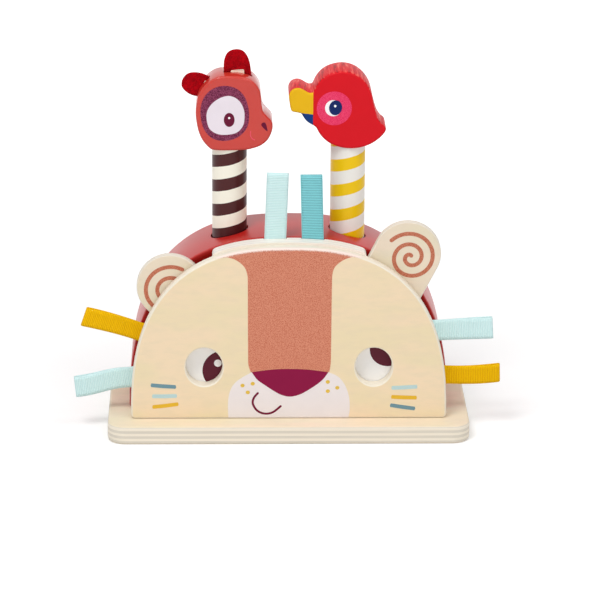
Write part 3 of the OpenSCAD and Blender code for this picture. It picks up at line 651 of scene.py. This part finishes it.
INK = {
    "terracotta": printed("terracotta_ink", (202, 128, 100), (184, 100, 74)),
    "bridge": faded_print("bridge_ink", (220, 146, 118), (199, 112, 86), (250, 232, 222)),
    "plum": printed("plum_ink", (138, 0, 62)),
    "muzzle": printed("muzzle_ink", (240, 232, 231)),
    "smile": printed("smile_ink", (112, 0, 48)),
    "gold": printed("gold_ink", (228, 190, 78)),
    "slate": printed("slate_ink", (112, 150, 162)),
    "sky": printed("sky_ink", (190, 218, 218)),
    "ochre": printed("ochre_ink", (232, 184, 52)),
    "pupil": printed("pupil_ink", (92, 26, 44)),
    "white": printed("white_ink", (252, 250, 250)),
    "aubergine": printed("aubergine_ink", (142, 62, 94), (92, 18, 54), size=0.5),
    "pale": printed("pale_ink", (238, 228, 236)),
    "wine": printed("wine_ink", (100, 2, 46)),
    "pink": printed("pink_ink", (240, 70, 114), (226, 36, 86)),
    "rose": printed("rose_ink", (234, 80, 104)),
    "navy": printed("navy_ink", (0, 30, 92)),
    "beak": printed("beak_ink", (234, 182, 12)),
    "blue": printed("blue_ink", (0, 52, 120)),
}


def face_print(name, outline, ink, layer=1):
    """A printed patch on the front of the face plate."""
    patch(name, outline, FACE_Y, "frame", ink, layer)


# The bridge of the nose: straight sides that flare out to the top of the arch
bridge_right = [(28.9, 49.3), (29.8, 55.0), (30.0, 62.0), (30.1, 90.0), (30.2, 118.0),
                (30.6, 124.2), (32.0, 128.5), (35.0, 131.8), (39.2, 134.6)]
bridge_left = [(-27.6, 49.5), (-29.2, 55.0), (-29.4, 62.0), (-29.6, 90.0), (-29.7, 118.0),
               (-30.2, 123.6), (-31.7, 128.2), (-34.8, 131.8), (-39.4, 134.8)]
TOP_STEPS = 40
top_left, top_right = -44.5, 44.2
bridge_right.append((top_right, arch_height(top_right, PLATE_EDGE)))
bridge_left.append((top_left, arch_height(top_left, PLATE_EDGE)))
bridge_sides = [smooth(side, 6, closed=False) for side in (bridge_right, bridge_left)]
top_edge = []
for k in range(TOP_STEPS + 1):
    x = top_right + (top_left - top_right) * k / TOP_STEPS
    top_edge.append((x, arch_height(x, PLATE_EDGE)))
face_print("bridge_print", bridge_sides[0] + top_edge[1:-1] + bridge_sides[1][::-1], "bridge")


def arch_normal(x, inset):
    """Direction out of the face plate's outline above x."""
    step = 0.5
    rise = arch_height(x + step, inset) - arch_height(x - step, inset)
    slope = rise / (2 * step)
    length = math.hypot(slope, 1)
    return -slope / length, 1 / length


# Over the rounded edge the bridge's ink goes on, and runs out sideways to a point at each end
WRAP_RIGHT, WRAP_LEFT, WRAP_STEPS = 50.5, -51.5, 60
wrap_x = [WRAP_RIGHT + (WRAP_LEFT - WRAP_RIGHT) * k / WRAP_STEPS for k in range(WRAP_STEPS + 1)]
wrap_starts = [35 * max(0, (x - top_right) / 6.3, (top_left - x) / 7.0) for x in wrap_x]
edge_wrap("bridge_edge_print", [(x, arch_height(x, PLATE_EDGE)) for x in wrap_x],
          [arch_normal(x, PLATE_EDGE) for x in wrap_x], "bridge", 80, wrap_starts)

muzzle_low = board_top + PLATE_EDGE
muzzle_right = [(27.9, 49.1), (34.9, 46.0), (40.2, 39.4), (43.3, 30.1), (43.9, 20.7),
                (43.2, muzzle_low)]
muzzle_left = [(-43.6, muzzle_low), (-43.9, 24.7), (-42.6, 34.0), (-39.2, 40.6), (-33.1, 45.6),
               (-26.5, 49.3)]
muzzle = [smooth(side, 6, closed=False) for side in (muzzle_right, muzzle_left)]
face_print("muzzle_print", muzzle[0] + muzzle[1], "muzzle")

# Its ink goes on over the plate's lower edge
foot = [(43.2 - 86.8 * k / 20, muzzle_low) for k in range(21)]
edge_wrap("muzzle_edge_print", foot, [(0, -1)] * len(foot), "muzzle", 60, [0] * len(foot))

nose_top = [(28.2, 49.1), (15.0, 51.0), (1.4, 51.7), (-12.5, 51.2), (-26.8, 49.3)]
nose_low = [(-26.8, 49.3), (-22.8, 43.6), (-17.4, 39.4), (-8.9, 33.6), (-3.6, 31.2), (1.0, 30.5),
            (5.8, 31.4), (10.8, 33.6), (19.4, 39.3), (24.6, 43.9), (28.2, 49.1)]
nose = smooth(nose_top, 6, closed=False) + smooth(nose_low, 6, closed=False)[1:-1]
face_print("nose_print", nose, "plum", layer=2)

smile = smooth([(-22.4, 33.2), (-25.2, 29.6), (-26.0, 25.4), (-23.6, 20.6), (-19.8, 18.0),
                (-15.4, 17.4), (-11.0, 18.8), (-5.9, 23.1)], 8, closed=False)
face_print("smile_print", stroke(smile, 0.78), "smile", layer=2)

DOTS = [(-33.4, 39.1), (-26.1, 40.5), (-29.6, 33.8), (27.9, 41.7), (34.8, 37.2), (28.0, 34.6)]
for index, (x, z) in enumerate(DOTS):
    face_print(f"muzzle_dot_{index}", ellipse(x, z, 1.5, 1.4, 24), "gold", layer=2)

# The whiskers: [ink, start, end]
WHISKERS = [
    ("slate", (-99.0, 39.4), (-81.5, 38.0)),
    ("sky", (-98.1, 30.9), (-80.9, 31.1)),
    ("ochre", (-98.0, 22.6), (-79.8, 24.8)),
    ("sky", (74.2, 36.9), (92.1, 37.8)),
    ("ochre", (74.0, 30.0), (91.9, 29.3)),
    ("slate", (73.3, 23.6), (90.8, 20.9)),
]
WHISKER_WIDTH = 3.0


def dash(start, end, width):
    """A hand-drawn dash: a bar with slightly uneven ends and sides."""
    (x0, z0), (x1, z1) = start, end
    length = math.hypot(x1 - x0, z1 - z0)
    ux, uz = (x1 - x0) / length, (z1 - z0) / length
    h = width / 2
    local = [(0, -h * 0.9), (length * 0.5, -h * 1.02), (length, -h * 0.88), (length + 0.5, 0),
             (length - 0.1, h), (length * 0.45, h * 0.96), (0.1, h), (-0.4, 0)]
    return [(x0 + ux * a - uz * b, z0 + uz * a + ux * b) for a, b in local]


for index, (ink, start, end) in enumerate(WHISKERS):
    face_print(f"whisker_{index}", dash(start, end, WHISKER_WIDTH), ink)


def spiral(cx, cz, start, sweep, outer, inner):
    """Points from the outer end inwards: start and sweep in degrees, radii in millimetres."""
    count = 120
    points = []
    for k in range(count + 1):
        share = k / count
        a = math.radians(start + sweep * share)
        r = outer + (inner - outer) * share
        points.append((cx + r * math.cos(a), cz + r * math.sin(a)))
    return points


# The ears' spirals, drawn on the rocker as it stands at rest
SPIRALS = {
    "right": spiral(86.5, 132.3, 137.0, -786, 18.8, 1.4),
    "left": spiral(-85.8, 106.7, 60.7, 786, 19.3, 1.3),
}
SPIRAL_PEN = 1.45
for side, line in SPIRALS.items():
    patch(f"{side}_ear_spiral", stroke(line, SPIRAL_PEN), rocker_low.y, "ear_rocker", "terracotta")

# Pupils on the eye discs: [centre from the disc's own, radius], and the left one's highlight
PUPILS = {"left": ((13.9, -6.0), 15.2), "right": ((10.2, 9.9), 12.8)}
GLINT, GLINT_R = (9.8, -0.3), 2.75
DISC_RIM = 1.0  # a pupil ends this far inside the disc's edge


def disc_lens(cx, cz, pupil, disc_r):
    """Outline of the pupil where it lies on the disc: a circle cut by the disc's edge."""
    (px, pz), radius = pupil
    points = []
    for k in range(96):
        a = 2 * math.pi * k / 96
        x, z = px + radius * math.cos(a), pz + radius * math.sin(a)
        shrink = min(1, disc_r / math.hypot(x, z))
        points.append((cx + x * shrink, cz + z * shrink))
    return points


for side, pupil in PUPILS.items():
    centre = joint_mm(f"{side}_eye_turn")
    disc_low, disc_high = box_mm(f"{side}_eye_disc")
    rim = (disc_high.x - disc_low.x) / 2 - DISC_RIM
    patch(f"{side}_pupil", disc_lens(centre.x, centre.z, pupil, rim), disc_low.y, f"{side}_eye",
          "pupil")
    if side == "left":
        glint = ellipse(centre.x + GLINT[0], centre.z + GLINT[1], GLINT_R, GLINT_R, 32)
        patch("left_glint", glint, disc_low.y, "left_eye", "white", layer=2)

# Features of the two heads, drawn in [distance from the dowel's axis, height above the underside]
beast_low = box_mm("beast_head")[0]
bird_low = box_mm("bird_head")[0]
HEAD_T = box_mm("beast_head")[1].y - beast_low.y
BIRD_DROP = 1.5  # the bird was drawn from this far below its underside


def on_head(axis, bottom):
    """Matrix from a head's own drawing plane, with its front face at y = 0, into the frame."""
    return Matrix.Translation(Vector((axis.x, axis.y - HEAD_T / 2, bottom)))


HEADS = {
    "beast": ("beast_plunger", "beast_paint", on_head(beast_axis, beast_low.z)),
    "bird": ("bird_plunger", "bird_paint", on_head(bird_axis, bird_low.z - BIRD_DROP)),
}


def head_print(name, outline, head, ink, layer=1):
    """A printed patch on the front of a head."""
    body, slot, place = HEADS[head]
    patch(name, outline, 0.0, body, ink, layer, place)


beast_ring = [(13.9, 26.0), (13.2, 33.0), (10.4, 40.6), (4.6, 46.2), (-3.6, 48.1), (-11.6, 46.0),
              (-17.4, 40.6), (-20.2, 33.4), (-20.4, 25.0), (-18.0, 16.0), (-12.4, 9.6),
              (-4.6, 7.6), (3.8, 9.2), (10.0, 13.8), (13.2, 19.6)]
beast_white = [(10.7, 25.6), (9.9, 31.6), (6.4, 37.6), (0.6, 40.6), (-5.6, 39.6), (-11.6, 35.8),
               (-15.6, 30.0), (-16.2, 23.6), (-14.2, 16.6), (-8.8, 12.8), (-2.0, 12.1),
               (5.2, 13.8), (9.6, 18.8)]
beast_nostril = [(22.6, 19.3), (23.7, 21.0), (25.4, 20.9), (26.4, 18.4), (27.0, 14.8),
                 (24.8, 16.4)]
beast_smile = smooth([(15.0, 14.6), (14.9, 11.8), (16.0, 9.4), (18.0, 8.2)], 6, closed=False)
head_print("beast_eye_ring", smooth(beast_ring), "beast", "aubergine")
head_print("beast_eye_white", smooth(beast_white), "beast", "pale", 2)
head_print("beast_pupil", ellipse(-0.2, 23.1, 3.8, 5.15, 40), "beast", "wine", 3)
head_print("beast_glint", ellipse(-0.2, 24.5, 0.8, 0.8, 20), "beast", "white", 4)
head_print("beast_nostril", smooth(beast_nostril), "beast", "wine")
head_print("beast_smile", stroke(beast_smile, 0.3), "beast", "rose")
head_print("bird_eye_ring", ellipse(-10.65, 31.5, 12.45, 12.4, 72), "bird", "pink")
head_print("bird_eye_white", ellipse(-11.3, 31.7, 5.9, 5.95, 48), "bird", "white", 2)
head_print("bird_pupil", ellipse(-9.7, 32.0, 4.6, 5.5, 40, -8), "bird", "navy", 3)
head_print("bird_glint", ellipse(-10.0, 33.3, 0.9, 0.9, 20), "bird", "white", 4)

SKIN_T = 0.1  # thickness of a print that follows a CAD node's surface


def skin(name, node, cuts, body, ink):
    """A printed patch that follows a CAD node's own front and rounded edge. Each cut is a point in
    millimetres and the direction of the side that is left out."""
    mesh = bpy.data.meshes.new(name)
    work = bmesh.new()
    work.from_mesh(nodes[node].data)
    work.transform(nodes[node].matrix_world)
    bmesh.ops.remove_doubles(work, verts=work.verts, dist=WELD * MM)
    for point, away in cuts:
        everything = work.verts[:] + work.edges[:] + work.faces[:]
        bmesh.ops.bisect_plane(work, geom=everything, plane_co=Vector(point) * MM,
                               plane_no=Vector(away), clear_outer=True)
    work.normal_update()
    for vertex in work.verts:
        vertex.co += vertex.normal * PRINT * MM
    work.to_mesh(mesh)
    work.free()
    mesh.materials.clear()
    mesh.materials.append(INK[ink])
    plain_shading(mesh)
    piece = bpy.data.objects.new(name, mesh)
    bpy.context.scene.collection.objects.link(piece)
    layer = piece.modifiers.new("layer", "SOLIDIFY")
    layer.thickness, layer.offset = SKIN_T * MM, -1.0
    piece.modifiers.new("even_shading", "NODES").node_group = even
    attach(piece, body)


BEAK_ROOT = (-25.6, 27.0)  # where the beak meets the head, on the bird's drawing plane
BEAK_WRAP = 1.1  # how far the print goes back over the beak's rounded edge


def beak_cuts(side):
    """Cuts that leave the upper (side 1) or lower (side -1) half of the beak's front."""
    x, y, z = bird_axis.x + BEAK_ROOT[0], bird_low.y, bird_low.z - BIRD_DROP + BEAK_ROOT[1]
    return [((x, y, z), (1, 0, 0)), ((x, y + BEAK_WRAP, z), (0, 1, 0)),
            ((x, y, z), (-0.12 * side, 0, -0.993 * side))]


skin("bird_beak_upper", "bird_head", beak_cuts(1), "bird_plunger", "beak")
skin("bird_beak_lower", "bird_head", beak_cuts(-1), "bird_plunger", "blue")


# ---------------------------------------------------------------- ribbons

RIBBON_T, WIDE, NARROW = 0.45, 15.6, 13.8  # thickness and the two widths
# Each colour's [ribs, painted shade between them, slot]
RIBBONS = {
    "blue": ((222, 255, 255), (196, 242, 241), "blue_ribbon"),
    "teal": ((142, 222, 229), (0, 84, 106), "teal_ribbon"),
    "yellow": ((255, 197, 0), (230, 148, 0), "yellow_ribbon"),
}
FOLD = 1.7  # radius of the fold at a loop's outer end
TAIL = 9.8  # how much of each ply is hidden in the slot
PLY_GAP = 0.12  # half the gap between the two plies in the slot
MOUTH = 2  # the plies start to part this far outside the slot
SLOT_MIDDLE = BLOCK_FRONT - 1.0  # middle of the 2 mm deep slots in the backs of the spacers
SPACER_HIGH = ARCH_HIGH - 56  # height of the side spacers


def folded_line(reach):
    """Side view of a loop, as points [distance out of the slot, depth]: out along one ply, round
    the fold and back along the other."""
    steps, fold_steps = 26, 8
    ply = RIBBON_T / 2 + PLY_GAP
    front = []
    for k in range(steps + 1):
        s = -TAIL + (reach + TAIL) * k / steps
        grow = min(max((s - MOUTH) / (reach - MOUTH), 0), 1)
        front.append((s, -(ply + (FOLD - ply) * grow * grow * (3 - 2 * grow))))
    bends = [math.radians(-90 + 180 * k / fold_steps) for k in range(1, fold_steps)]
    fold = [(reach + FOLD * math.cos(b), FOLD * math.sin(b)) for b in bends]
    return front + fold + [(s, -y) for s, y in front[::-1]]


def ribbon(where, root, direction, length, width, sag=0.0, wave=0.0, curl=0.0, twist=0.0,
           lean=0.0):
    """A folded loop of grosgrain. where has its side and colour, root is where it leaves its slot,
    and direction is in degrees from +X in the XZ plane. sag and wave bend it sideways, curl takes
    its outer end forwards, and twist and lean turn that end about its length and in its own
    plane."""
    side, shade = where.split("_")
    name, node, rests = f"loop_{where}", f"ribbon_{where}", f"{side}_spacer"
    rgb, groove_shade, slot = RIBBONS[shade]
    half, columns = width / 2, 6
    a = math.radians(direction)
    along = Vector((math.cos(a), 0, math.sin(a)))
    across = Vector((-math.sin(a), 0, math.cos(a)))
    line = folded_line(length - FOLD - RIBBON_T / 2)
    rows, distance, lengths = [], 0.0, []
    for i, (s, y) in enumerate(line):
        if i:
            distance += math.hypot(s - line[i - 1][0], y - line[i - 1][1])
        lengths.append(distance)
        share = min(max(s / length, 0), 1)
        bend = across * (sag * (share ** 2 - share) + wave * math.sin(2 * math.pi * share))
        bend += Vector((0, -curl * share ** 2, 0))
        tilt, skew = math.radians(twist) * share, math.radians(lean) * share
        width_way = (across * math.cos(skew) + along * math.sin(skew)) * math.cos(tilt)
        width_way += Vector((0, 1, 0)) * math.sin(tilt)
        middle = root + along * s + Vector((0, y, 0)) + bend
        rows.append([middle + width_way * half * (2 * j / columns - 1)
                     for j in range(columns + 1)])
    piece = grid(name, rows, "frame", grosgrain(name + "_weave", rgb, groove_shade, width))
    layer = piece.data.uv_layers.new(name="ribbon")
    for loop in piece.data.loops:
        row, column = divmod(loop.vertex_index, columns + 1)
        layer.data[loop.index].uv = (width * MM * column / columns, lengths[row] * MM)
    solid = piece.modifiers.new("thickness", "SOLIDIFY")
    solid.thickness, solid.offset = RIBBON_T * MM, 0.0
    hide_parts(node)


def top_root(x):
    """Place on the arch's edge above x."""
    return Vector((x, SLOT_MIDDLE, arch_height(x)))


def side_root(side, share):
    """Place on the arch's edge at a share of the side spacers' height: side 1 is the right."""
    height = SPACER_HIGH * share
    reach = ARCH_HALF * (1 - (height / ARCH_HIGH) ** ARCH_POWER) ** (1 / ARCH_POWER)
    return Vector((side * reach, SLOT_MIDDLE, board_top + height))


ribbon("top_blue", top_root(-10), 88.0, 50.5, WIDE, curl=1.0)
ribbon("top_teal", top_root(16.9), 91.6, 49.0, WIDE, curl=-0.5, twist=4)
ribbon("left_yellow", side_root(-1, 0.818), 163.7, 42.0, NARROW, sag=3, twist=-3, lean=2.5)
ribbon("left_blue", side_root(-1, 0.343), 189.3, 42.0, WIDE, sag=2, wave=-0.6, curl=1.5, twist=3,
       lean=4)
ribbon("right_blue", side_root(1, 0.827), 3.4, 40.5, WIDE, curl=1.0, twist=4)
ribbon("right_yellow", side_root(1, 0.363), 2.2, 40.5, NARROW, sag=4, twist=-4)


# ---------------------------------------------------------------- felt ears

FELT_L, FELT_DEEP, FELT_T = 16.3, 7.6, 2.4  # length outside and inside the slot, and thickness
FELT_LEVELS = [-FELT_DEEP, -4.0, -0.5, 1.5, 3.5, 6.0, 8.5, 10.8, 12.8, 14.4, 15.5, FELT_L]
FELT_ROUND = 2.6  # fullness of an ear's round end
FELT_TIP = 0.8  # half the width that is left at its very end


def felt_ear(name, node, foot, degrees, width, lean=0.0, pinch=0.0):
    """A rounded felt ear, cupped towards the front. foot is [from the axis, above the underside],
    lean bends its tip sideways, and pinch narrows it where it leaves its slot."""
    a = math.radians(degrees)
    up = Vector((math.cos(a), 0, math.sin(a)))
    out = Vector((math.sin(a), 0, -math.cos(a)))
    low, high = box_mm(node)
    middle = (low.y + high.y) / 2
    root = Vector((beast_axis.x + foot[0], middle, beast_low.z + foot[1]))
    columns = 8
    rows = []
    for level in FELT_LEVELS:
        share = max(level, 0) / FELT_L
        half = FELT_TIP
        if share < 1:
            half = width / 2 * (1 - share ** FELT_ROUND) ** (1 / FELT_ROUND)
        half *= 1 - pinch * max(0, 1 - abs(level) / 5)
        row = []
        for j in range(columns + 1):
            c = 2 * j / columns - 1
            cup = -1.5 * c * c * math.sin(math.pi * min(share * 1.2, 1)) - 0.4 * share
            sideways = out * (half * c + lean * share ** 1.5)
            row.append(root + sideways + up * level + Vector((0, cup, 0)))
        rows.append(row)
    piece = grid(name, rows, "beast_plunger", MATERIALS["felt"])
    solid = piece.modifiers.new("thickness", "SOLIDIFY")
    solid.thickness, solid.offset = FELT_T * MM, 0.0
    soft = piece.modifiers.new("soft_edges", "SUBSURF")
    soft.levels = soft.render_levels = 2
    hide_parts(node)


felt_ear("felt_top_ear", "beast_top_ear", (5.8, 54.7), 96.0, 19.4)
felt_ear("felt_side_ear", "beast_side_ear", (-17.9, 43.5), 155.0, 18.4, lean=-1.6, pinch=0.1)


# ---------------------------------------------------------------- springs

WIRE_R = 0.8
TURNS, CLOSED = 7.5, 1  # turns of a coil, and how many of them lie closed at each end
CLOSED_RISE = 2 * WIRE_R + 0.15  # rise of a closed turn


def coil_height(n, height):
    """Height of the wire's middle over its lowest, n turns up a coil of the given height."""
    climb = height - 2 * WIRE_R
    if n < CLOSED:
        return CLOSED_RISE * n
    if n > TURNS - CLOSED:
        return climb - CLOSED_RISE * (TURNS - n)
    return CLOSED_RISE + (climb - 2 * CLOSED_RISE) * (n - CLOSED) / (TURNS - 2 * CLOSED)


def spring(side, who):
    """A compression spring with closed ends."""
    low, high = box_mm(f"{side}_spring")
    axis = joint_mm(f"{who}_turn")
    radius = (high.x - low.x) / 2 - WIRE_R
    height = high.z - low.z
    steps, sides = 36, 10
    rows = []
    for k in range(int(TURNS * steps) + 1):
        t = 2 * math.pi * k / steps
        middle = low.z + WIRE_R + coil_height(k / steps, height)
        row = []
        for j in range(sides):
            b = 2 * math.pi * j / sides
            r = radius + WIRE_R * math.sin(b)
            row.append((axis.x + r * math.cos(t), axis.y + r * math.sin(t),
                        middle + WIRE_R * math.cos(b)))
        rows.append(row)
    piece = grid(f"{side}_coil", rows, "frame", MATERIALS["spring"], closed_across=True)
    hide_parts(f"{side}_spring")
    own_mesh(piece)


spring("left", "beast")
spring("right", "bird")


# ---------------------------------------------------------------- floor, light and camera


def floor():
    """A matt floor that glows towards the camera, more so with distance, so that it is white."""
    size, grey = 8.0, (0.86, 0.86, 0.86, 1)
    mesh = bpy.data.meshes.new("floor")
    corners = [(-size, -size, 0), (size, -size, 0), (size, size, 0), (-size, size, 0)]
    mesh.from_pydata(corners, [], [[0, 1, 2, 3]])
    ground = bpy.data.objects.new("floor", mesh)
    bpy.context.scene.collection.objects.link(ground)
    material = bpy.data.materials.new("studio_floor")
    material.use_nodes = True
    material.node_tree.nodes.clear()
    t = Tree(material.node_tree)
    place = t.node("ShaderNodeTexCoord").outputs["Object"]
    away = t.node("ShaderNodeVectorMath", place, operation="LENGTH").outputs["Value"]
    strength = t.times(t.seen(), t.ranged(away, 0.2, 1.2, 0.25, 0.8))
    glow = t.node("ShaderNodeEmission", None, strength).outputs[0]
    matt = t.node("ShaderNodeBsdfDiffuse", grey).outputs[0]
    t.node("ShaderNodeOutputMaterial", t.node("ShaderNodeAddShader", matt, glow).outputs[0])
    mesh.materials.append(material)


LAMP_TARGET = Vector((0, 0, 0.1))


def lamp(name, place, size, power):
    """A round lamp that looks at the toy: place and size in metres, power in watts."""
    data = bpy.data.lights.new(name, "AREA")
    data.shape, data.size, data.energy = "DISK", size, power
    light = bpy.data.objects.new(name, data)
    bpy.context.scene.collection.objects.link(light)
    light.location = place
    light.rotation_mode = "QUATERNION"
    light.rotation_quaternion = (LAMP_TARGET - Vector(place)).to_track_quat("-Z", "Y")


def studio():
    """White surroundings, weaker as light than as seen, and three soft lamps from the front."""
    world = bpy.data.worlds.new("studio")
    bpy.context.scene.world = world
    world.use_nodes = True
    t = Tree(world.node_tree)
    background = t.tree.nodes["Background"]
    t.give(background.inputs["Color"], (1, 1, 1, 1))
    t.give(background.inputs["Strength"], t.ranged(t.seen(), 0.0, 1.0, 0.5, 1.0))
    lamp("key", (-0.6, -0.9, 1.9), 0.8, 18)
    lamp("fill", (0.9, -0.6, 1.9), 0.8, 6)
    lamp("front", (0.5, -2.2, 0.9), 0.9, 4.5)


def camera():
    """The photograph's camera: a long lens, a little to the left of the toy and above it."""
    target, distance = Vector((8.57, 0, 90.3)) * MM, 2321.8 * MM
    azimuth, elevation, roll = (math.radians(v) for v in (-1.52, 19.26, 0.396))
    level = math.cos(elevation)
    back = Vector((math.sin(azimuth) * level, -math.cos(azimuth) * level, math.sin(elevation)))
    right = (-back).cross(Vector((0, 0, 1))).normalized()
    up = right.cross(-back)
    rolled_right = right * math.cos(roll) + up * math.sin(roll)
    rolled_up = up * math.cos(roll) - right * math.sin(roll)
    data = bpy.data.cameras.new("camera")
    data.lens, data.sensor_width = 192.0, 36.0
    data.clip_start, data.clip_end = 0.1, 50
    eye = bpy.data.objects.new("camera", data)
    bpy.context.scene.collection.objects.link(eye)
    turn = Matrix((rolled_right, rolled_up, back)).transposed()
    eye.matrix_world = Matrix.Translation(target + back * distance) @ turn.to_4x4()
    bpy.context.scene.camera = eye


floor()
studio()
camera()
bpy.context.scene.view_settings.view_transform = "Standard"
